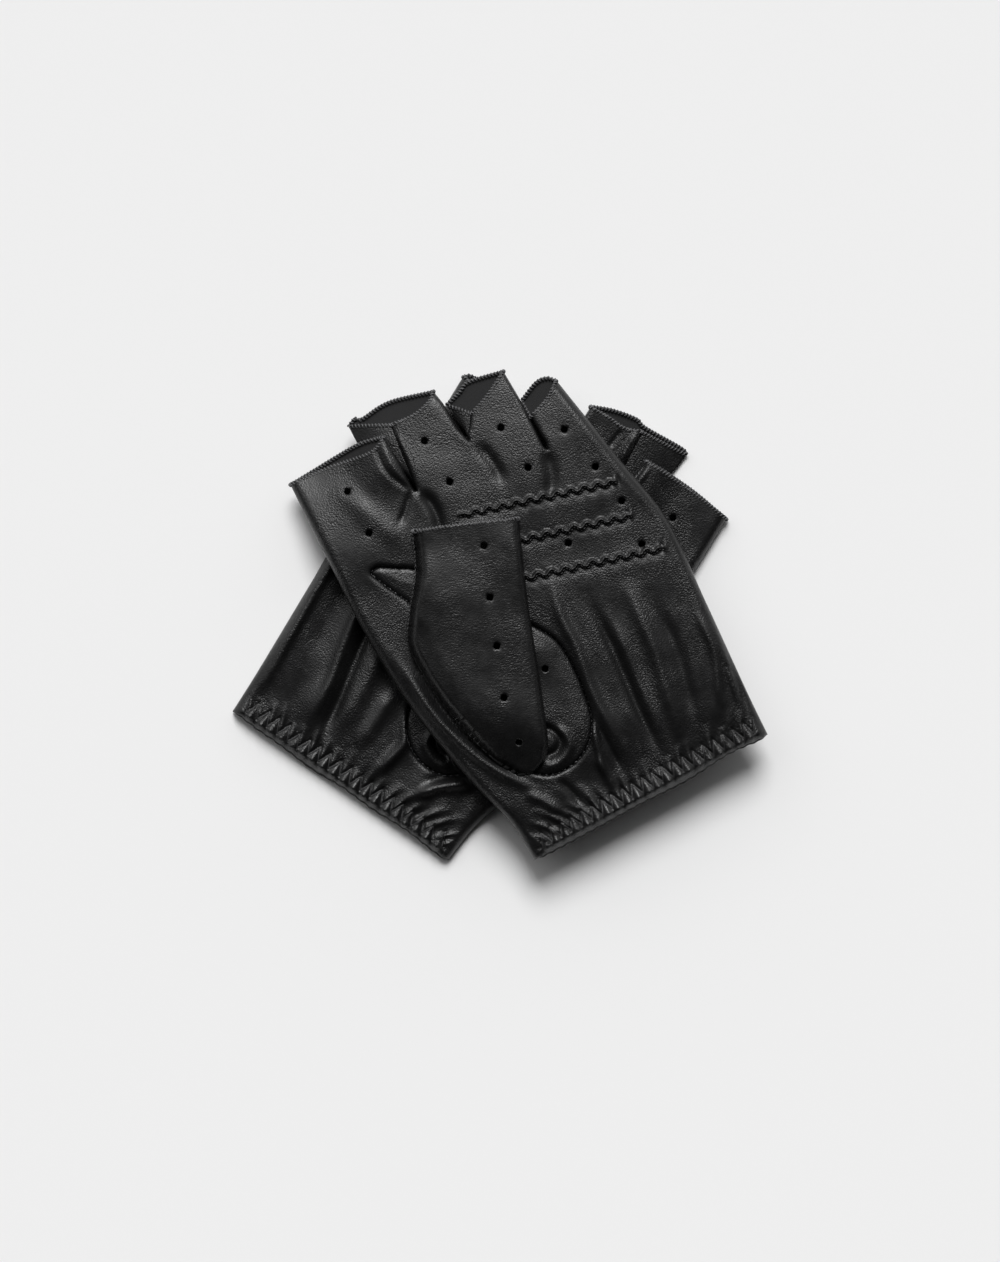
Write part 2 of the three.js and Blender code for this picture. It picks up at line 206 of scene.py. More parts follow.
RIGHT = {
    "name": "right", "side": -1, "turn": -34.6, "at": (-55, -54.4, 0), "seed": 9,
    "front": {
        "index": [(-57.6, 148), (-44, 148.8), (-32.4, 148.8), (-24.2, 148.2)],
        "middle": [(-17.4, 155.9), (-11.9, 153.5), (-5.5, 153.5), (1.4, 152.9)],
        "ring": [(6.3, 139.2), (11.9, 141.1), (16.1, 143.2), (20.3, 144.4)],
        "little": [(23.8, 130.8), (32.1, 133.3), (39.6, 136.6), (42.6, 137.2)],
    },
    "back": {
        "index": [(-57.6, 148), (-44, 149.4), (-32.4, 149.4), (-24.6, 148.8)],
        "middle": [(-34.3, 158.2), (-31.5, 159.1), (-17.6, 157.9), (-13.6, 158.6), (-5.5, 156.6),
                   (1.6, 153.4)],
        "ring": [(2.4, 144.9), (6.5, 145.7), (10.5, 146.2), (20.4, 144.8)],
        "little": [(23.8, 137.2), (34, 139.2), (40.6, 138.9), (42.6, 137.2)],
    },
    "slots": [
        {"front": [[(-23.4, 138)], [(-19.8, 138)]],
         "back": [[(-23.6, 138)], [(-22.9, 138), (-23.3, 148), (-26.2, 151.6)]],
         "wing": [(-25, 135), (-31, 142), (-33.6, 149.6)]},
        {"front": [[(1.3, 147), (0.6, 139)], [(3.9, 137)]],
         "back": [[(1.2, 145)], [(2.1, 141)]]},
        {"front": [[(22.0, 137), (22.3, 127)], [(23.4, 124)]],
         "back": [[(22.2, 137), (22.5, 127)], [(23.4, 126)]]},
    ],
    "folds": [
        ([(43.4, 90), (42.9, 58), (41.6, 42), (39.6, 22), (38.5, 10)], 1.0, 1.5),
        ([(34.5, 62), (33.5, 46), (30, 28)], -0.5, 4.0),
        ([(28.5, 70), (26.2, 49.3), (23.4, 36.6), (20.8, 26.5), (18.4, 8)], 1.3, 2.0),
        ([(21.8, 60), (20, 45.8), (17.2, 33), (14.4, 20), (12.8, 8)], -1.5, 1.8),
        ([(14, 48), (11, 34), (9, 14)], 0.8, 3.2),
        ([(-5.5, 35), (-10.9, 25.2), (-10.2, 16.3), (-9.1, 8.6)], 1.5, 1.8),
        ([(-23.8, 10.7), (-29.4, 19), (-37.5, 26.1)], 1.6, 1.8),
        ([(-24, 18), (-30, 24), (-36, 31)], -1.0, 1.5),
        ([(2, 38), (1, 26), (1, 12)], 0.8, 2.6),
        ([(-16.6, 155), (-16.4, 149.7), (-17.2, 142)], 0.8, 0.9),
        ([(-11.7, 153), (-11.4, 149), (-11.4, 144)], -0.5, 0.6),
        ([(-26.2, 148), (-26, 141), (-25, 131)], 0.7, 0.8),
        ([(-24.9, 148), (-24.7, 144), (-24.4, 139)], -0.5, 0.5),
        ([(-55.2, 84), (-53.4, 73), (-52.2, 59.7), (-49.3, 48.3), (-44.8, 36.9), (-38.5, 28), (-33, 19)],
         1.1, 1.8),
        CREASE_VALLEY,
    ],
    "wrist_period": 4.2,
}
FINGERS = ["index", "middle", "ring", "little"]
FOURCHETTES = ["index_middle", "middle_ring", "ring_little"]


# Plane curves.

def distances_along(points):
    """How far along the polyline each of its points is."""
    return np.r_[0, np.cumsum(np.linalg.norm(np.diff(points, axis=0), axis=1))]


def divide(points, count):
    """The same polyline in `count` even steps, ends kept."""
    points = np.asarray(points, float)
    lengths = distances_along(points)
    places = np.linspace(0, lengths[-1], count + 1)
    return np.stack([np.interp(places, lengths, points[:, axis]) for axis in range(points.shape[1])], 1)


def resample(points, step):
    """The same polyline in even steps of about `step`, ends kept."""
    length = distances_along(np.asarray(points, float))[-1]
    return divide(points, max(int(round(length / step)), 1))


def unit(vectors):
    """The vectors, each scaled to length 1."""
    return vectors / (np.linalg.norm(vectors, axis=1)[:, None] + 1e-12)


def curve(points, step=OUTLINE_STEP, closed=False):
    """A smooth curve through the points."""
    points = np.asarray(points, float)
    if closed:
        ring = np.vstack([points[-1], points, points[:2]])
    else:
        ring = np.vstack([2 * points[0] - points[1], points, 2 * points[-1] - points[-2]])
    t = np.linspace(0, 1, 13)[:-1, None]
    pieces = []
    for a, b, c, d in zip(ring[:-3], ring[1:-2], ring[2:-1], ring[3:]):
        pieces.append(0.5 * (2 * b + (c - a) * t + (2 * a - 5 * b + 4 * c - d) * t ** 2
                             + (3 * b - a - 3 * c + d) * t ** 3))
    smooth = np.vstack(pieces + [ring[-2][None]])
    return resample(smooth, step)


def beside(path, distance):
    """The path moved sideways, to its left for a positive distance."""
    along = unit(np.gradient(path[:, :2], axis=0))
    return path[:, :2] + distance * np.stack([-along[:, 1], along[:, 0]], 1)


def path_distance(points, path):
    """Distance from each point to the path, and how far along it (0 to 1) the nearest place is."""
    path = np.asarray(path, float)
    starts, steps = path[:-1], np.diff(path, axis=0)
    square = (steps ** 2).sum(1) + 1e-12
    lengths = np.r_[0, np.cumsum(np.sqrt(square))]
    nearest, place = [], []
    for chunk in np.array_split(points[:, :2], max(len(points) // 3000, 1)):
        offset = chunk[:, None] - starts[None]
        t = np.clip((offset * steps).sum(2) / square, 0, 1)
        gap = np.linalg.norm(offset - t[..., None] * steps, axis=2)
        best = gap.argmin(1)
        rows = np.arange(len(chunk))
        nearest.append(gap[rows, best])
        place.append((lengths[best] + t[rows, best] * np.sqrt(square[best])) / lengths[-1])
    return np.concatenate(nearest), np.concatenate(place)


def inside(points, loop):
    """Which points lie inside the closed loop."""
    found = np.zeros(len(points), bool)
    x, y = points[:, 0], points[:, 1]
    for (x1, y1), (x2, y2) in zip(loop, np.roll(loop, -1, axis=0)):
        if y1 == y2:
            continue
        crosses = ((y1 > y) != (y2 > y)) & (x < (x2 - x1) * (y - y1) / (y2 - y1) + x1)
        found ^= crosses
    return found


def step_up(x, low, high):
    """0 below `low` rising smoothly to 1 above `high`."""
    t = np.clip((x - low) / (high - low), 0, 1)
    return t * t * (3 - 2 * t)


def round_edge(distance, radius):
    """0 at the edge rising to 1 at `radius` in, as a quarter of a circle."""
    t = np.clip(distance / radius, 0, 1)
    return np.sqrt(np.clip(1 - (1 - t) ** 2, 0, 1))


def ripple(points, seed, wavelength):
    """Smooth random waves between about -1 and 1."""
    rng = np.random.default_rng(seed)
    total = np.zeros(len(points))
    for _ in range(14):
        angle = rng.uniform(0, math.tau)
        size = math.tau / (wavelength * rng.uniform(0.7, 1.5))
        along = points[:, 0] * math.cos(angle) + points[:, 1] * math.sin(angle)
        total += np.sin(size * along + rng.uniform(0, math.tau))
    return total / 4


# The glove's outlines.

def ellipse(spec, step=0.7):
    """An oval hole."""
    angles = np.linspace(0, math.tau, int(math.tau * max(spec["across"], spec["along"]) / step))[:-1]
    return np.stack([spec["centre"][0] + spec["across"] * np.cos(angles),
                     spec["centre"][1] + spec["along"] * np.sin(angles)], 1)


def punch(centre):
    """A round hole, pulled very slightly square by the leather."""
    angles = np.linspace(0, math.tau, 17)[:-1]
    radius = HOLE_RADIUS * (1 + 0.08 * np.cos(4 * angles))
    return np.stack([centre[0] + radius * np.cos(angles), centre[1] + radius * np.sin(angles)], 1)


def thumb_side(glove, layer, step=OUTLINE_STEP):
    """The hand's folded edge on the thumb side, from the index fingertip down to the wrist."""
    return curve([glove[layer]["index"][0]] + THUMB_SIDE[1:], step)


def little_side(glove, layer, step=OUTLINE_STEP):
    """The hand's sewn edge on the other side, from the wrist up to the little fingertip."""
    return curve(LITTLE_SIDE[:-1] + [glove[layer]["little"][-1]], step)


def slot_halves(glove, number, layer):
    """The slot edge from its left finger's tip down to the crotch, and from there to the right finger's."""
    side = "front" if layer == "front" else "back"
    left_end = glove[side][FINGERS[number]][-1]
    right_end = glove[side][FINGERS[number + 1]][0]
    left_way, right_way = glove["slots"][number][side]
    if layer == "wing":
        right_way = glove["slots"][number]["wing"]
    u, v = CROTCHES[number]
    left = curve([left_end, *left_way, (u - 0.45, v + 1.6), (u, v)])
    right = curve([(u, v), (u + 0.45, v + 1.6), *right_way, right_end])
    return left, right


def slot_path(glove, number, layer):
    """The whole edge of the slot between two fingers."""
    left, right = slot_halves(glove, number, layer)
    return np.vstack([left, right[1:]])


def wrist_hem(glove, layer):
    """The wavy wrist edge, from the thumb side to the little side."""
    line = resample([(THUMB_SIDE[-1][0], 0), (LITTLE_SIDE[0][0], 0)], 0.5)
    across = line[:, 0]
    fade = step_up(across, -45.6, -42) * step_up(-across, -42.5, -39)
    swing = 0.16 * np.sin(math.tau * across / glove["wrist_period"])
    swing += 0.6 * ripple(line, glove["seed"] + 40, 30)
    line[:, 1] += fade * swing + (0.2 if layer == "front" else -0.4) * fade
    return line


def hand_outline(glove, layer):
    """The closed outline of the palm ("front") or the back, anticlockwise from the wrist."""
    pieces = [wrist_hem(glove, layer), little_side(glove, layer)]
    for number in (3, 2, 1, 0):
        pieces.append(curve(glove[layer][FINGERS[number]])[::-1])
        if number:
            pieces.append(slot_path(glove, number - 1, layer)[::-1])
    pieces.append(thumb_side(glove, layer))
    return np.vstack([piece[1:] for piece in pieces])


def thumb_outline():
    """The closed outline of the folded thumb, anticlockwise from its bottom."""
    pieces = [curve(edge)[::-1] for edge in (THUMB_RIGHT, THUMB_HEM, THUMB_LEFT, THUMB_BOTTOM)]
    return np.vstack([piece[1:] for piece in pieces])


def sine_row(row, length, height, step=0.3):
    """A wavy line along a straight row, flattening out at its ends."""
    line = resample(row, step)
    start, end = np.asarray(row[0]), np.asarray(row[1])
    size = np.linalg.norm(end - start)
    across = np.array([-(end - start)[1], (end - start)[0]]) / size
    along = np.linspace(0, size, len(line))
    ends = step_up(along, 0, 5) * step_up(size - along, 0, 3)
    swing = 0.5 * height * np.sin(math.tau * along / length) * ends
    return line + swing[:, None] * across


def zigzag_corners(glove):
    """The points of the wrist thread's zigzag, slightly uneven."""
    rng = np.random.default_rng(glove["seed"])
    (left, level), (right, _) = WRIST_ROW
    count = int(round((right - left) / (glove["wrist_period"] / 2)))
    across = np.linspace(left, right, count + 1) + rng.uniform(-0.25, 0.25, count + 1)
    height = np.where(np.arange(count + 1) % 2, 2.6, -1.9) + rng.uniform(-0.3, 0.3, count + 1)
    return np.stack([across, level + height], 1)


# Heights of the leather.

def folds(points, glove):
    """Ridges and valleys along the glove's own fold lines, fading out at their ends."""
    total = np.zeros(len(points))
    for path, height, width in glove["folds"]:
        distance, place = path_distance(points, curve(path, 1.5))
        fade = step_up(place, 0, 0.3) * step_up(1 - place, 0, 0.3)
        total += 1.5 * height * np.exp(-(distance / width) ** 2) * (0.1 + 0.9 * fade)
    return total


def wrist_gathers(points, glove):
    """Rounded teeth below the wrist thread, and pleats of uneven length that fan out above it."""
    u, v = points[:, 0], points[:, 1]
    corners = zigzag_corners(glove)
    above = v - np.interp(u, corners[:, 0], corners[:, 1])
    climb = np.clip((v - 2.2) / 5.4, 0, 1)
    teeth = 0.5 * (1 - climb) * step_up(v, 0, 2.2)
    for across, _ in corners[1::2]:
        width = 1.5 - 1.0 * climb
        teeth += 1.7 * step_up(v, -0.4, 2.2) * (1 - climb) * np.exp(-((u - across) / width) ** 2)
    groove = -0.6 * np.exp(-((above - 0.6) / 0.8) ** 2)
    pleats = np.zeros(len(points))
    near = v < 32
    rng = np.random.default_rng(glove["seed"] + 1)
    for across, start in corners[::2]:
        length = rng.uniform(5, 12) + 5 * rng.random() * step_up(-across, -5, 25)
        drift = -(0.34 if across < -8 else 0.1) * (across + 8) * rng.uniform(0.5, 1.2)
        up = np.clip((v[near] - start) / length, 0, 1)
        middle = across - drift * up ** 1.5
        width = 0.85 + 0.8 * up
        rise = rng.uniform(0.9, 1.8) * (1 - up) ** 0.8 * step_up(v[near] - start, -1.0, 3.2)
        pleats[near] += rise * np.exp(-((u[near] - middle) / width) ** 2)
    pleats -= 0.5 * np.exp(-np.clip(v - 7, 0, None) / 7)
    slow = 0.5 * ripple(np.stack([u, 0.25 * v], 1), glove["seed"] + 5, 11) * np.exp(-((v - 15) / 10) ** 2)
    side = step_up(u, -45, -40) * step_up(42 - u, 0, 4)
    return side * (teeth + groove + pleats + slow)


def smocking(points):
    """A pin tuck along each wavy row, hollow just below it and puckered at its little-finger end."""
    total = np.zeros(len(points))
    for row in PALM_ROWS:
        direction = np.asarray(row[1]) - np.asarray(row[0])
        size = np.linalg.norm(direction)
        direction = direction / size
        offset = points - np.asarray(row[0])
        along = offset @ direction
        across = offset @ np.array([-direction[1], direction[0]])
        close = (np.abs(across) < 7) & (along > -4) & (along < size + 4)
        if not close.any():
            continue
        wave = sine_row(row, **PALM_WAVE)
        crest, _ = path_distance(points[close], wave)
        hollow, _ = path_distance(points[close], wave - [0, 1.4])
        ends = step_up(along[close], -1.5, 1.5) * step_up(size - along[close], -1.5, 1.5)
        tuck = 1.25 * np.exp(-(crest / 0.55) ** 2) - 0.3 * np.exp(-(hollow / 1.2) ** 2)
        cluster = 0.5 * np.sin(2.4 * along[close]) * np.exp(-((along[close] - size) / 1.6) ** 2)
        total[close] += ends * tuck + cluster * np.exp(-(across[close] / 1.6) ** 2)
    return total


def hand_thickness(points):
    """Height of the empty hand: fullest across the palm, flatter at the wrist and in the fingers."""
    u, v = points[:, 0], points[:, 1]
    finger = step_up(v, 112, 146)
    pillow = 0.35 * np.sin(math.pi * np.clip((u + 50) / 92, 0, 1))
    return HAND_THICKNESS + pillow - 1.2 * step_up(32 - v, 0, 30) - 0.7 * finger


def finger_lift(points, glove, layer):
    """The index finger rides up over the middle finger's folded side panel."""
    u, v = points[:, 0], points[:, 1]
    _, middle_finger = slot_halves(glove, 0, layer)
    border = np.interp(v, middle_finger[:, 1], middle_finger[:, 0])
    return 2.1 * step_up(u, -40, -28) * step_up(border - u, 0.1, 0.5) * step_up(v, 126, 140)


def dimples(points, holes):
    """Depth of the leather pulled in round its punched holes."""
    total = np.zeros(len(points))
    for hole in holes:
        total += HOLE_DIMPLE * np.exp(-(np.hypot(*(points - hole).T) - HOLE_RADIUS) ** 2 / 0.8)
    return total


def palm_height(points, glove):
    """Height of the palm's outer surface above the glove's floor."""
    points = np.asarray(points, float)[:, :2]
    sides = [thumb_side(glove, "front", 1.0), little_side(glove, "front", 1.0)]
    slots = [slot_path(glove, number, "front") for number in range(3)]
    outer = np.min([path_distance(points, side)[0] for side in sides], axis=0)
    slot = np.min([path_distance(points, edge)[0] for edge in slots], axis=0)
    seam, _ = path_distance(points, curve(THUMB_SEAM, 1.0, closed=True))
    body = hand_thickness(points) + finger_lift(points, glove, "front")
    soft = round_edge(outer, EDGE_RADIUS)
    calm = step_up(outer, 0, 5) * step_up(slot, 0, 4)
    relief = folds(points, glove) + wrist_gathers(points, glove) + smocking(points)
    waves = 0.28 * ripple(points, glove["seed"] + 7, 34) + 0.05 * ripple(points, glove["seed"] + 8, 13)
    relief += calm * waves
    height = HAND_EDGE + (body - HAND_EDGE + relief * (0.2 + 0.8 * soft)) * soft
    height -= SLOT_RADIUS * (1 - round_edge(slot, SLOT_RADIUS))
    height -= 1.1 * (1 - round_edge(seam, 1.7))
    height -= 2.6 * (1 - round_edge(points[:, 1] + 0.5, 2.2))
    return height - dimples(points, PALM_HOLES)


def back_height(points, glove):
    """Height of the back's outer surface: flat on the ground, curling up at its edges."""
    points = np.asarray(points, float)[:, :2]
    outline = hand_outline(glove, "back")
    outer, _ = path_distance(points, np.vstack([outline, outline[:1]]))
    u, v = points[:, 0], points[:, 1]
    gathers = np.abs(np.sin(math.pi * u / glove["wrist_period"])) * np.exp(-np.clip(v - 4, 0, None) / 6)
    lift = finger_lift(points, glove, "back")
    return 0.9 * (1 - round_edge(outer, 2.2)) + 0.5 * gathers * step_up(outer, 0, 2) + lift


def base_height(points, glove):
    """The leather inside the drop-shaped thumb seam, with a rolled rim and a groove below the thumb's end."""
    points = np.asarray(points, float)[:, :2]
    seam, _ = path_distance(points, curve(THUMB_SEAM, 1.0, closed=True))
    pocket, place = path_distance(points, curve(POCKET_RIM, 1))
    rim = 1.1 * np.exp(-(pocket / 1.3) ** 2) * step_up(place, 0, 0.2) * step_up(1 - place, 0, 0.2)
    groove, _ = path_distance(points, curve(POCKET_HOOK, 1))
    hook = -1.9 * np.exp(-(groove / 1.2) ** 2)
    waves = 0.3 * ripple(points, glove["seed"] + 17, 22) + 0.03 * ripple(points, glove["seed"] + 18, 7)
    swell = 0.5 * step_up(seam, 1, 6)
    return BASE_HEIGHT + swell + rim + waves + hook - 1.3 * (1 - round_edge(seam, 1.9))


def thumb_edges(points):
    """Distances from the thumb's right, left and bottom edges."""
    return [path_distance(points, curve(edge, 1.0))[0] for edge in (THUMB_RIGHT, THUMB_LEFT, THUMB_BOTTOM)]


def thumb_middle(points):
    """The height where the thumb's upper and lower leather meet along its edges."""
    v = points[:, 1]
    crease, _ = path_distance(points, curve(CREASE, 1.0))
    lower_end = 0.5 * step_up(52 - v, 0, 24) + 0.9 * step_up(38 - v, 0, 10)
    return THUMB_EDGE - 1.2 * step_up(9 - crease, 0, 9) - lower_end


def thumb_height(points, glove):
    """The thumb's upper side, flatter where it bends into the palm, with its side seam pulled in."""
    points = np.asarray(points, float)[:, :2]
    right, left, bottom = thumb_edges(points)
    v = points[:, 1]
    low_left = step_up(56 - v, 0, 26) * step_up(-points[:, 0], 24, 36)
    full = THUMB_FULLNESS - 2.6 * low_left - 0.8 * step_up(50 - v, 0, 18) - 0.5 * step_up(v, 96, 112)
    shape = round_edge(right, THUMB_RIGHT_RADIUS) * round_edge(left, THUMB_LEFT_RADIUS)
    shape *= round_edge(bottom, THUMB_BOTTOM_RADIUS)
    waves = 0.3 * ripple(points, glove["seed"] + 27, 30) + 0.04 * ripple(points, glove["seed"] + 28, 9)
    seam = -0.5 * np.exp(-((left - 2.4) / 0.7) ** 2) * step_up(v, 82, 90)
    return thumb_middle(points) + (full + waves + seam) * shape - dimples(points, THUMB_HOLES)


def thumb_underside(points):
    """The thumb's flat lower side, which turns up to its edges."""
    points = np.asarray(points, float)[:, :2]
    middle = thumb_middle(points)
    drop = np.clip(middle - THUMB_FLOOR, 0.35, None)
    return middle - drop * round_edge(np.min(thumb_edges(points), axis=0), 2.0)


# Meshes.

def sheet_points(outline, holes, rolled, fine):
    """Points that fill the outline: a grid, finer where gathered, with close rows beside rolled edges."""
    low, high = outline.min(0), outline.max(0)

    def lattice(spacing):
        rows = np.arange(low[1], high[1], spacing * 0.866)
        columns = np.arange(low[0], high[0], spacing)
        grid = np.stack(np.meshgrid(columns, rows), -1)
        grid[1::2, :, 0] += spacing / 2
        return grid.reshape(-1, 2)

    coarse, dense = lattice(GRID), lattice(FINE_GRID)
    spots = np.vstack([coarse[~fine(coarse)], dense[fine(dense)]])
    loops = [outline] + holes
    spots = spots[inside(spots, outline)]
    for hole in holes:
        spots = spots[~inside(spots, hole)]
    rows = []
    for path, radius in rolled:
        for angle in (22, 40, 58, 75):
            inset = radius * (1 - math.cos(math.radians(angle)))
            rows.append(beside(resample(path, OUTLINE_STEP), inset))
    if rows:
        rows = np.vstack(rows)
        rows = rows[inside(rows, outline)]
        for hole in holes:
            rows = rows[~inside(rows, hole)]
        apart = np.min([path_distance(spots, path)[0] / radius for path, radius in rolled], axis=0)
        spots = np.vstack([spots[apart > 0.95], rows])
    edge = np.min([path_distance(spots, np.vstack([loop, loop[:1]]))[0] for loop in loops], axis=0)
    return spots[edge > 0.14]


def nowhere(points):
    """No part of a sheet: the sheet has no gathers."""
    return np.zeros(len(points), bool)


def fill(outline, holes, rolled, fine=nowhere):
    """Triangulates the outline, less its holes. Returns plane points and faces."""
    loops = [outline] + holes
    spots = sheet_points(outline, holes, rolled, fine)
    points = np.vstack(loops + [spots])
    edges, first = [], 0
    for loop in loops:
        count = len(loop)
        edges += [(first + at, first + (at + 1) % count) for at in range(count)]
        first += count
    found, _, faces, _, _, _ = delaunay_2d_cdt([Vector(point) for point in points], edges, [], 0, 1e-7, False)
    plane = np.array([tuple(point) for point in found])
    faces = np.array([face for face in faces if len(face) == 3])
    middle = plane[faces].mean(1)
    keep = inside(middle, outline)
    for hole in holes:
        keep &= ~inside(middle, hole)
    return plane, faces[keep]


def to_frame(points, glove):
    """Local millimetres to the frame, in metres. The upper glove droops at its wrist and fingertips."""
    points = np.asarray(points, float)
    u, v, w = points.T
    turn = math.radians(glove["turn"])
    if glove["name"] == "left":
        overhang = FINGER_DROOP + INDEX_DROOP * step_up(-u, 20, 50)
        w = w - WRIST_DROOP * np.clip(1 - v / 45, 0, 1.2) ** 2
        w = w - overhang * np.clip((v - 112) / 42, 0, 1.2) ** 2
    x = glove["at"][0] + glove["side"] * u * math.cos(turn) - v * math.sin(turn) + PAIR_SHIFT[0]
    y = glove["at"][1] + glove["side"] * u * math.sin(turn) + v * math.cos(turn) + PAIR_SHIFT[1]
    return np.stack([x, y, w + glove["at"][2]], 1) / 1000


def add_mesh(piece, glove, points, faces, materials):
    """A mesh of the glove, keeping its local millimetres for the shaders."""
    name = f"{glove['name']}_{piece}_look"
    mesh = bpy.data.meshes.new(name)
    faces = [tuple(int(corner) for corner in face) for face in faces]
    if glove["side"] < 0:
        faces = [face[::-1] for face in faces]
    mesh.from_pydata(to_frame(points, glove).tolist(), [], faces)
    local = mesh.attributes.new("leather_mm", "FLOAT_VECTOR", "POINT")
    local.data.foreach_set("vector", np.asarray(points, np.float32).ravel())
    mesh.polygons.foreach_set("use_smooth", [True] * len(mesh.polygons))
    for material in materials:
        mesh.materials.append(material)
    thing = bpy.data.objects.new(name, mesh)
    bpy.context.collection.objects.link(thing)
    return thing


def thicken(thing, thickness=LEATHER):
    """Gives a sheet its thickness, inwards, with suede inside and a raw cut edge."""
    solid = thing.modifiers.new("thickness", "SOLIDIFY")
    solid.thickness = thickness / 1000
    solid.offset = -1
    solid.material_offset = 1
    solid.material_offset_rim = 2
    solid.use_even_offset = False
    shape = thing.evaluated_get(bpy.context.evaluated_depsgraph_get())
    mesh = bpy.data.meshes.new_from_object(shape)
    thing.modifiers.clear()
    old, thing.data = thing.data, mesh
    bpy.data.meshes.remove(old)
    return thing


def tube(path, radius, sides=6):
    """Points and faces of a round thread along a path in local millimetres."""
    path = np.asarray(path, float)
    along = unit(np.gradient(path, axis=0))
    helper = np.where(np.abs(along[:, 2:]) > 0.9, [[1.0, 0, 0]], [[0, 0, 1.0]])
    first = unit(np.cross(along, helper))
    second = np.cross(along, first)
    angles = np.linspace(0, math.tau, sides + 1)[:-1]
    rings = [path + radius * (math.cos(a) * first + math.sin(a) * second) for a in angles]
    points = np.stack(rings, 1).reshape(-1, 3)
    faces = []
    last = (len(path) - 1) * sides
    for ring in range(0, last, sides):
        for side in range(sides):
            after = (side + 1) % sides
            faces.append((ring + side, ring + after, ring + sides + after, ring + sides + side))
    faces.append(tuple(range(sides))[::-1])
    faces.append(tuple(last + side for side in range(sides)))
    return points, faces


def grid_faces(count, width):
    """Faces that join `count` rows of `width` points."""
    return [(a * width + b, (a + 1) * width + b, (a + 1) * width + b + 1, a * width + b + 1)
            for a in range(count - 1) for b in range(width - 1)]


def coil(path, axis, pitch, wide, tall):
    """A thread wound round a path in overcast stitches, `wide` along the axis and `tall` across it."""
    path = resample(path, pitch / 12)
    along = unit(np.gradient(path, axis=0))
    axis = np.asarray(axis, float)
    outwards = unit(axis - (along @ axis)[:, None] * along)
    up = np.cross(along, outwards)
    angle = np.linspace(0, math.tau * len(path) / 12, len(path))[:, None]
    return path + wide * np.cos(angle) * outwards + tall * np.sin(angle) * up


def weld(thing):
    """Joins the two sheets of a tube along the edges they share."""
    work = bmesh.new()
    work.from_mesh(thing.data)
    rim = [vertex for vertex in work.verts if vertex.is_boundary]
    bmesh.ops.remove_doubles(work, verts=rim, dist=2e-5)
    work.to_mesh(thing.data)
    work.free()


def finish_piece(thing, glove, body, slot, *nodes):
    """Gives a piece its body and hides the CAD nodes that it stands for; slot is not used."""
    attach(thing, f"{glove['name']}_{body}")
    if nodes:
        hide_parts(*(f"{glove['name']}_{node}" for node in nodes))


# Materials.

def add_node(tree, kind, values, links, **settings):
    """A shader node with these settings and input values, and other nodes' outputs linked to its inputs."""
    node = tree.nodes.new(kind)
    for name, setting in settings.items():
        setattr(node, name, setting)
    for name, value in values.items():
        node.inputs[name].default_value = value
    for name, output in links.items():
        tree.links.new(output, node.inputs[name])
    return node


def new_material(name):
    """A material with one shader, and the socket that gives a point's place on the flat glove."""
    material = bpy.data.materials.new(name)
    material.use_nodes = True
    tree = material.node_tree
    tree.nodes.clear()
    output = tree.nodes.new("ShaderNodeOutputMaterial")
    shader = tree.nodes.new("ShaderNodeBsdfPrincipled")
    tree.links.new(shader.outputs[0], output.inputs[0])
    place = tree.nodes.new("ShaderNodeAttribute")
    place.attribute_name = "leather_mm"
    return material, tree, shader, place.outputs["Vector"]


def noise(tree, place, scale, detail=2.0, stretch=(1, 1, 1), turn=0):
    """Cloudy noise over the leather, drawn out by `stretch` and turned by `turn` degrees."""
    shape = {"Rotation": (0, 0, math.radians(turn)), "Scale": stretch}
    mapping = add_node(tree, "ShaderNodeMapping", shape, {"Vector": place}, vector_type="TEXTURE")
    size = {"Scale": scale, "Detail": detail}
    return add_node(tree, "ShaderNodeTexNoise", size, {"Vector": mapping.outputs[0]}).outputs["Fac"]


def pebbles(tree, place, scale):
    """The rounded cells of leather grain."""
    size = {"Scale": scale, "Smoothness": 0.35}
    cells = add_node(tree, "ShaderNodeTexVoronoi", size, {"Vector": place}, feature="SMOOTH_F1")
    return cells.outputs["Distance"]


def bump(tree, height, distance_mm, before=None, invert=False, strength=None):
    """Relief of this height, laid over the relief before it."""
    links = {"Height": height}
    if strength is not None:
        links["Strength"] = strength
    if before is not None:
        links["Normal"] = before
    values = {"Strength": 1.0, "Distance": distance_mm / 1000}
    return add_node(tree, "ShaderNodeBump", values, links, invert=invert).outputs["Normal"]


def spread(tree, value, low, high):
    """Noise, whose values lie near the middle, spread out between `low` and `high`."""
    ends = {"From Min": 0.3, "From Max": 0.7, "To Min": low, "To Max": high}
    return add_node(tree, "ShaderNodeMapRange", ends, {"Value": value}).outputs["Result"]


def tint(tree, value, dark, light):
    """A colour between `dark` and `light`."""
    colours = {"A": (*dark, 1), "B": (*light, 1)}
    return add_node(tree, "ShaderNodeMix", colours, {"Factor": value}, data_type="RGBA").outputs["Result"]


def leather_material(name, grain_mm, stretch=(1, 1, 1), turn=0):
    """Smooth black glove leather: fine grain and creases that show in patches, soft uneven shine."""
    material, tree, shader, place = new_material(name)
    patches = spread(tree, noise(tree, place, 0.09), 0.2, 1.0)
    grain = bump(tree, pebbles(tree, place, 1.9), grain_mm, invert=True, strength=patches)
    creases = bump(tree, noise(tree, place, 2.1, 2, stretch, turn), 0.15, before=grain, strength=patches)
    tree.links.new(creases, shader.inputs["Normal"])
    colour = tint(tree, noise(tree, place, 0.06, 3), (0.0035, 0.0035, 0.0036), (0.006, 0.006, 0.0062))
    tree.links.new(colour, shader.inputs["Base Color"])
    tree.links.new(spread(tree, noise(tree, place, 0.35, 3), 0.34, 0.44), shader.inputs["Roughness"])
    shader.inputs["Specular IOR Level"].default_value = 0.4
    return material


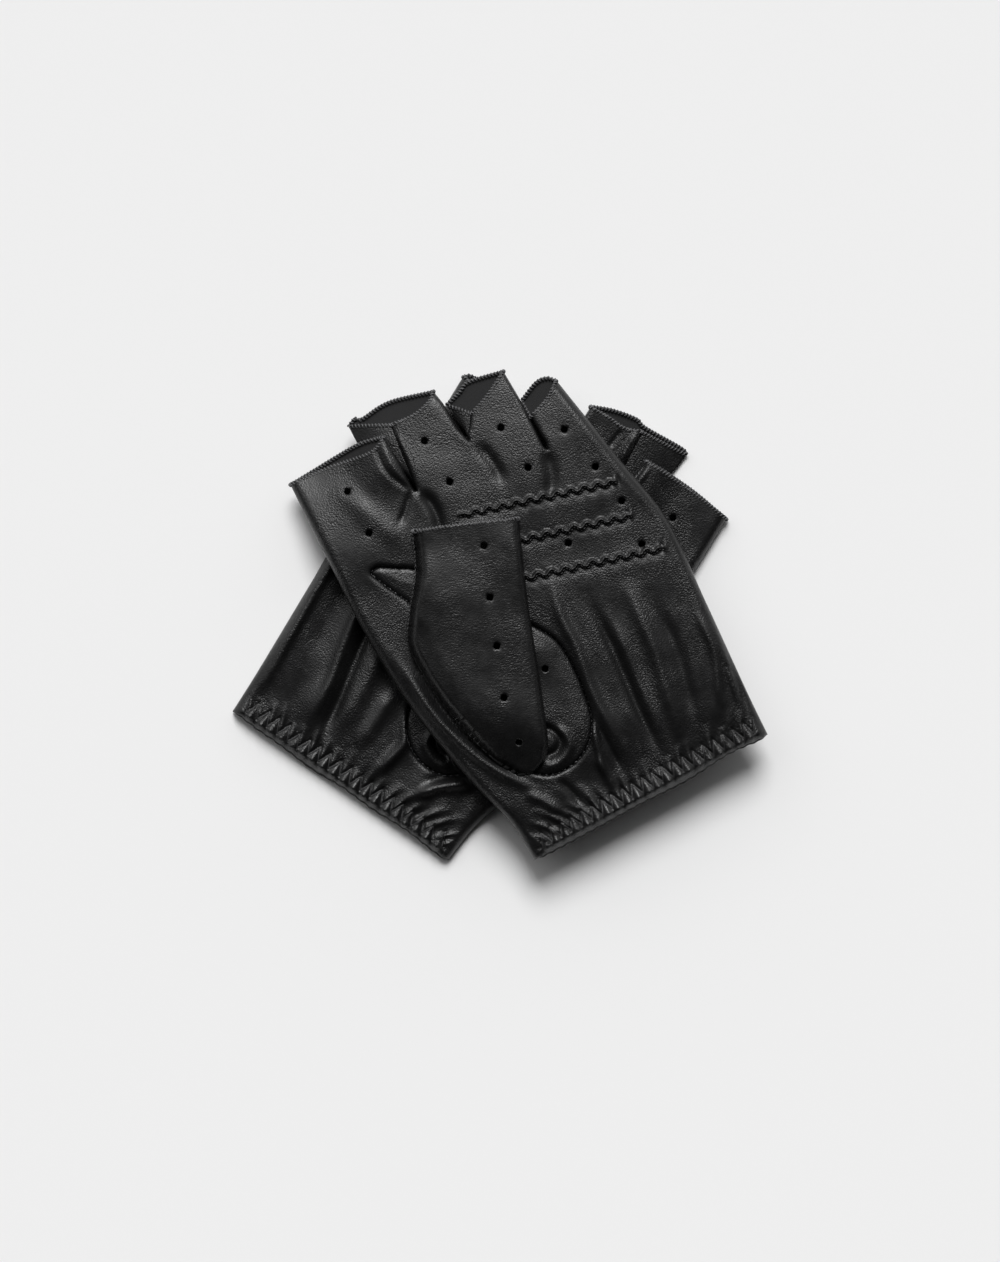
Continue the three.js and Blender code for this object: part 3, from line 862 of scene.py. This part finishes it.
def suede_material(name, colour, roughness=0.9):
    """The napped inside of the leather, and with a lighter colour its raw cut edge."""
    material, tree, shader, place = new_material(name)
    tree.links.new(bump(tree, noise(tree, place, 3.5, 4), 0.12), shader.inputs["Normal"])
    light = tuple(1.5 * part for part in colour)
    tree.links.new(tint(tree, noise(tree, place, 0.8, 3), colour, light), shader.inputs["Base Color"])
    shader.inputs["Roughness"].default_value = roughness
    return material


def thread_material(name, colour, roughness):
    """Twisted sewing thread, and with a duller finish the woven elastic."""
    material, tree, shader, place = new_material(name)
    tree.links.new(bump(tree, noise(tree, place, 4.5), 0.05), shader.inputs["Normal"])
    light = tuple(1.6 * part for part in colour)
    tree.links.new(tint(tree, noise(tree, place, 1.2), colour, light), shader.inputs["Base Color"])
    shader.inputs["Roughness"].default_value = roughness
    return material


def floor_material():
    """Matt, nearly white paper."""
    material, tree, shader, _ = new_material("floor")
    place = tree.nodes.new("ShaderNodeTexCoord").outputs["Object"]
    mottled = add_node(tree, "ShaderNodeTexNoise", {"Scale": 6}, {"Vector": place}).outputs["Fac"]
    colour = tint(tree, mottled, (0.80, 0.80, 0.80), (0.805, 0.805, 0.805))
    tree.links.new(colour, shader.inputs["Base Color"])
    shader.inputs["Roughness"].default_value = 1.0
    shader.inputs["Specular IOR Level"].default_value = 0.0
    return material


MATERIALS = {
    "leather": leather_material("black_leather", 0.17),
    "thumb_leather": leather_material("black_leather_thumb", 0.08, (2.9, 1, 1), -22),
    "suede": suede_material("suede_inside", (0.0055, 0.0055, 0.0058)),
    "raw_edge": suede_material("raw_edge", (0.02, 0.02, 0.0205), 0.7),
    "thread": thread_material("black_thread", (0.055, 0.055, 0.057), 0.4),
    "gather_thread": thread_material("black_gather_thread", (0.012, 0.012, 0.0125), 0.5),
    "elastic": thread_material("black_elastic", (0.010, 0.010, 0.010), 0.85),
}
SHEET = [MATERIALS["leather"], MATERIALS["suede"], MATERIALS["raw_edge"]]
THUMB_SHEET = [MATERIALS["thumb_leather"], MATERIALS["suede"], MATERIALS["raw_edge"]]


# Pieces of one glove.

def add_thread(piece, glove, path, radius, material, body="glove"):
    """A thread along a path, in place of the CAD thread of the same name."""
    points, faces = tube(path, radius)
    seam = add_mesh(piece, glove, points, faces, [MATERIALS[material]])
    finish_piece(seam, glove, body, "thread", piece)


def gathered_zone(points):
    """Where the palm needs the finer mesh: the wrist, and along the wavy rows."""
    zone = points[:, 1] < 11
    for row in PALM_ROWS:
        zone |= path_distance(points, row)[0] < 2.4
    return zone


def build_palm(glove):
    """The palm with its finger fronts, punched holes and the hole for the thumb."""
    outline = hand_outline(glove, "front")
    drop = curve(THUMB_SEAM, closed=True)[:-1]
    holes = [punch(hole) for hole in PALM_HOLES] + [drop]
    rolled = [(thumb_side(glove, "front"), EDGE_RADIUS), (little_side(glove, "front"), EDGE_RADIUS)]
    rolled += [(slot_path(glove, number, "front")[::-1], SLOT_RADIUS) for number in range(3)]
    plane, faces = fill(outline, holes, rolled, gathered_zone)
    points = np.column_stack([plane, palm_height(plane, glove)])
    palm = thicken(add_mesh("palm_panel", glove, points, faces, SHEET))
    finish_piece(palm, glove, "glove", "leather", "palm_panel")


def build_back(glove):
    """The back with its finger backs, lying on what is below the glove."""
    outline = hand_outline(glove, "back")
    plane, faces = fill(outline, [], [])
    points = np.column_stack([plane, back_height(plane, glove)])
    back = thicken(add_mesh("back_panel", glove, points, faces[:, ::-1], SHEET))
    finish_piece(back, glove, "glove", "leather", "back_panel")


def build_fourchette(glove, number):
    """The side panel between two fingers, ruled from the palm's slot edge to the back's, a little puffed."""
    rows = 24
    low_edge = "wing" if "wing" in glove["slots"][number] else "back"
    palm, back = [], []
    halves = zip(slot_halves(glove, number, "front"), slot_halves(glove, number, low_edge))
    for palm_half, back_half in halves:
        steps = 2 * max(len(palm_half), len(back_half))
        palm.append(divide(palm_half, steps))
        back.append(divide(back_half, steps))
    palm = np.vstack([palm[0], palm[1][1:]])
    back = np.vstack([back[0], back[1][1:]])
    upper = np.column_stack([palm, palm_height(palm, glove) - LEATHER / 2])[:, None]
    lower = np.column_stack([back, np.full(len(back), HAND_EDGE)])[:, None]
    t = np.linspace(0, 1, rows)[None, :, None]
    grid = upper * (1 - t) + lower * t
    grid[..., 2] += 0.35 * np.sin(math.pi * t[..., 0])
    piece = f"fourchette_{FOURCHETTES[number]}"
    panel = add_mesh(piece, glove, grid.reshape(-1, 3), grid_faces(len(palm), rows), SHEET)
    finish_piece(thicken(panel, FOURCHETTE_LEATHER), glove, "glove", "leather", piece)


def build_hem_thread(glove, finger):
    """Overcast stitches round the open end of a finger."""
    front = curve(glove["front"][finger], 0.5)
    back = curve(glove["back"][finger], 0.5)[::-1]
    front = np.column_stack([front, palm_height(front, glove) - LEATHER / 2])
    back = np.column_stack([back, back_height(back, glove) + LEATHER / 2])
    ring = resample(np.vstack([front, back, front[:1]]), 0.5)
    path = coil(ring - [0, 0.55, 0], (0, 1, 0), 1.15, 0.55, 0.55)
    add_thread(f"{finger}_hem_thread", glove, path, HEM_THREAD, "thread")


def build_rows(glove):
    """The wavy gathering threads of the palm, the zigzag one of the wrist and the elastic behind each."""
    for number, row in enumerate(PALM_ROWS, 1):
        wave = sine_row(row, **PALM_WAVE, step=0.25) - [0, 0.75]
        path = np.column_stack([wave, palm_height(wave, glove) - 0.05])
        stitches = coil(path, (0, 1, 0), 1.3, 0.12, 0.12)
        add_thread(f"palm_gather_thread_{number}", glove, stitches, 0.2, "gather_thread")
        build_elastic(glove, f"palm_elastic_{number}", row, PALM_ELASTIC_WIDTH)
    zigzag = resample(zigzag_corners(glove), 0.35)
    path = np.column_stack([zigzag, palm_height(zigzag, glove) + 0.12])
    add_thread("wrist_gather_thread", glove, path, HEM_THREAD, "gather_thread")
    build_elastic(glove, "wrist_elastic", WRIST_ELASTIC, WRIST_ELASTIC_WIDTH)


def build_elastic(glove, piece, row, width):
    """A ribbed elastic strip inside the hand, held under the leather."""
    line = resample(row, 0.4)
    (u1, v1), (u2, v2) = row
    size = math.hypot(u2 - u1, v2 - v1)
    across = np.array([-(v2 - v1), u2 - u1]) / size
    ribs = 13
    places = np.linspace(-width / 2, width / 2, ribs)
    relief = 0.06 * np.cos(np.arange(ribs) * math.pi)
    floor = np.min([palm_height(line + place * across, glove) for place in places[::4]], axis=0)
    rows = []
    for place, rib in zip(places, relief):
        rows.append(np.column_stack([line + place * across, floor - 1.6 + rib]))
    points = np.stack(rows, 1).reshape(-1, 3)
    strip = add_mesh(piece, glove, points, grid_faces(len(line), ribs), [MATERIALS["elastic"]] * 3)
    finish_piece(thicken(strip, ELASTIC_THICKNESS), glove, "glove", "elastic", piece)


def build_side_seam(glove):
    """The stitches that join palm and back along the little finger's side."""
    edge = beside(little_side(glove, "front")[2:-3], 0.45)
    path = np.column_stack([edge, np.full(len(edge), HAND_EDGE - 0.3)])
    add_thread("side_seam_thread", glove, coil(path, (1, 0, 0), 2.2, 0.12, 0.3), 0.16, "gather_thread")


def build_thumb_base(glove):
    """The leather inside the drop-shaped seam, with the opening that the thumb leads off, and the seam."""
    drop = curve(THUMB_SEAM, closed=True)[:-1]
    centre = drop.mean(0)
    outline = centre + (drop - centre) * 0.995
    holes = [punch(hole) for hole in BASE_HOLES] + [ellipse(THUMB_MOUTH)]
    plane, faces = fill(outline, holes, [])
    points = np.column_stack([plane, base_height(plane, glove)])
    base = thicken(add_mesh("thumb_base", glove, points, faces, SHEET))
    finish_piece(base, glove, "glove", "leather")
    seam = np.vstack([drop, drop[:1]])
    path = np.column_stack([seam, np.minimum(palm_height(seam, glove), base_height(seam, glove)) + 0.15])
    add_thread("thumb_seam_thread", glove, coil(path, (0, 1, 0), 2.2, 0.18, 0.16), 0.15, "thread")


def build_thumb(glove):
    """The thumb tube: an upper and a lower sheet that share their folded edges and stay open at the hem."""
    outline = thumb_outline()
    rolled = [(curve(THUMB_RIGHT)[::-1], THUMB_RIGHT_RADIUS), (curve(THUMB_LEFT), THUMB_LEFT_RADIUS)]
    upper_holes = [punch(hole) for hole in THUMB_HOLES]
    upper, upper_faces = fill(outline, upper_holes, rolled)
    lower, lower_faces = fill(outline, [ellipse(THUMB_MOUTH)], rolled)
    top = np.column_stack([upper, thumb_height(upper, glove)])
    under = np.column_stack([lower, thumb_underside(lower)])
    points = np.vstack([top, under])
    faces = np.vstack([upper_faces, lower_faces[:, ::-1] + len(top)])
    thumb = add_mesh("thumb_panel", glove, points, faces, THUMB_SHEET)
    weld(thumb)
    thicken(thumb, THUMB_LEATHER)
    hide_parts(f"{glove['name']}_thumb_panel")
    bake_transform(thumb)


def build_thumb_threads(glove):
    """Overcast stitches round the thumb's open end, and the thumb's own side seam."""
    hem = curve(THUMB_HEM, 0.5)
    top = np.column_stack([hem, thumb_height(hem, glove) - LEATHER / 2])
    under = np.column_stack([hem, thumb_underside(hem) + LEATHER / 2])[::-1]
    ring = resample(np.vstack([top, under, top[:1]]), 0.5)
    stitches = coil(ring - [0.17, 0.42, 0], (0.37, 0.93, 0), 1.1, 0.66, 0.55)
    add_thread("thumb_hem_thread", glove, stitches, HEM_THREAD, "thread", "thumb")
    edge = beside(curve(THUMB_SIDE_SEAM, 0.5), -0.3)
    path = np.column_stack([edge, thumb_middle(edge) + 0.2])
    stitches = coil(path, (1, 0, 0), 1.5, 0.12, 0.15)
    add_thread("thumb_side_seam_thread", glove, stitches, 0.14, "gather_thread", "thumb")


def build_glove(glove):
    """All the pieces of one glove."""
    build_palm(glove)
    build_back(glove)
    for number in range(3):
        build_fourchette(glove, number)
    for finger in FINGERS:
        build_hem_thread(glove, finger)
    build_rows(glove)
    build_side_seam(glove)
    build_thumb_base(glove)
    build_thumb(glove)
    build_thumb_threads(glove)


# Floor, light and camera.

def build_floor():
    """A wide sheet of pale paper."""
    bpy.ops.mesh.primitive_plane_add(size=6, location=(0, 0, -FLOOR_GAP / 1000))
    floor = bpy.context.object
    floor.name = "floor"
    floor.data.materials.append(floor_material())
    floor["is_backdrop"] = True


def add_lights():
    """A dim studio, brighter towards +Y, and two large soft lamps on that side."""
    world = bpy.data.worlds.new("studio")
    bpy.context.scene.world = world
    world.use_nodes = True
    tree = world.node_tree
    place = tree.nodes.new("ShaderNodeTexCoord")
    axes = tree.nodes.new("ShaderNodeSeparateXYZ")
    tree.links.new(place.outputs["Generated"], axes.inputs[0])
    side = {"Value": axes.outputs["Y"]}
    sky = add_node(tree, "ShaderNodeMapRange", SKY, side, interpolation_type="SMOOTHSTEP")
    tree.links.new(sky.outputs["Result"], tree.nodes["Background"].inputs["Strength"])
    tree.nodes["Background"].inputs["Color"].default_value = (1, 1, 1, 1)
    for name, energy, angle, towards in LAMPS:
        sun = bpy.data.lights.new(name, "SUN")
        sun.energy = energy
        sun.angle = math.radians(angle)
        lamp = bpy.data.objects.new(name, sun)
        lamp.rotation_euler = Vector(towards).to_track_quat("Z", "Y").to_euler()
        bpy.context.collection.objects.link(lamp)


def add_camera():
    """Straight down on the pair from over a metre, so that nothing leans."""
    lens = bpy.data.cameras.new("camera")
    lens.lens = LENS
    lens.sensor_width = 36
    camera = bpy.data.objects.new("camera", lens)
    camera.location = (PAIR_SHIFT[0] / 1000, (PAIR_SHIFT[1] - PICTURE_SHIFT) / 1000, CAMERA_HEIGHT / 1000)
    bpy.context.collection.objects.link(camera)
    bpy.context.scene.camera = camera


for each_glove in (RIGHT, LEFT):
    build_glove(each_glove)
build_floor()
add_lights()
add_camera()
bpy.context.scene.view_settings.view_transform = "Standard"
write_size("visual", SIZES)
